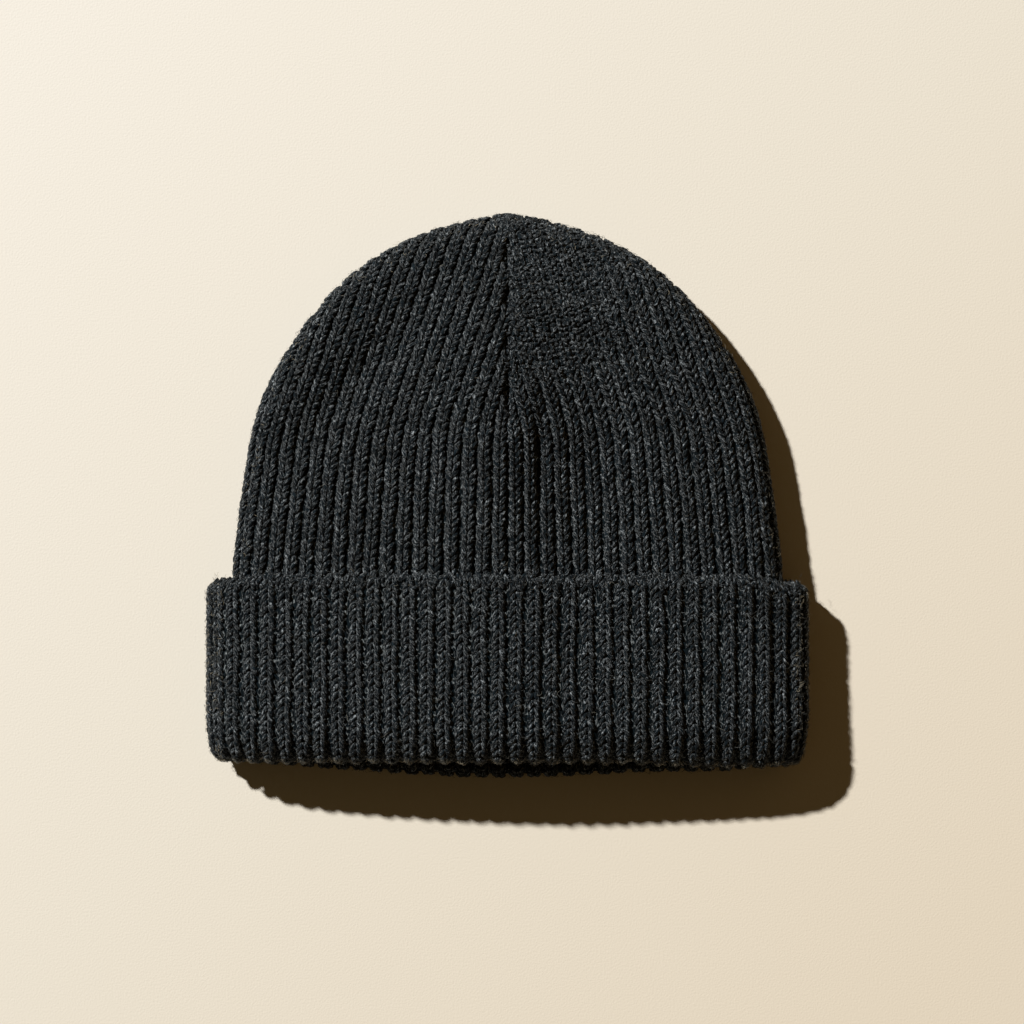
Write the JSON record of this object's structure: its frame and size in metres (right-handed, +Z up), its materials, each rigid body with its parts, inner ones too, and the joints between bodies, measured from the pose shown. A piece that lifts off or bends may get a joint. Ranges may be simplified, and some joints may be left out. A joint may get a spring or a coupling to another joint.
{
  "type": "ribbed beanie",
  "caption": "Ribbed knit cap with a domed crown drawn in along middle seams and a deep turned-up cuff, lying flat on its back.",
  "frame": {"origin": "middle of the cap's box, on the surface that the cap lies on", "axes": "+X across the cap, +Y from the mouth to the top of the crown, +Z up through the front sheet"},
  "size_m": [0.2204, 0.2062, 0.03],
  "materials": {
    "charcoal_knit": "matt flecked charcoal wool in a single rib knit"
  },
  "bodies": {
    "root": {"crown": "charcoal_knit", "cuff": "charcoal_knit"}
  },
  "joints": []
}
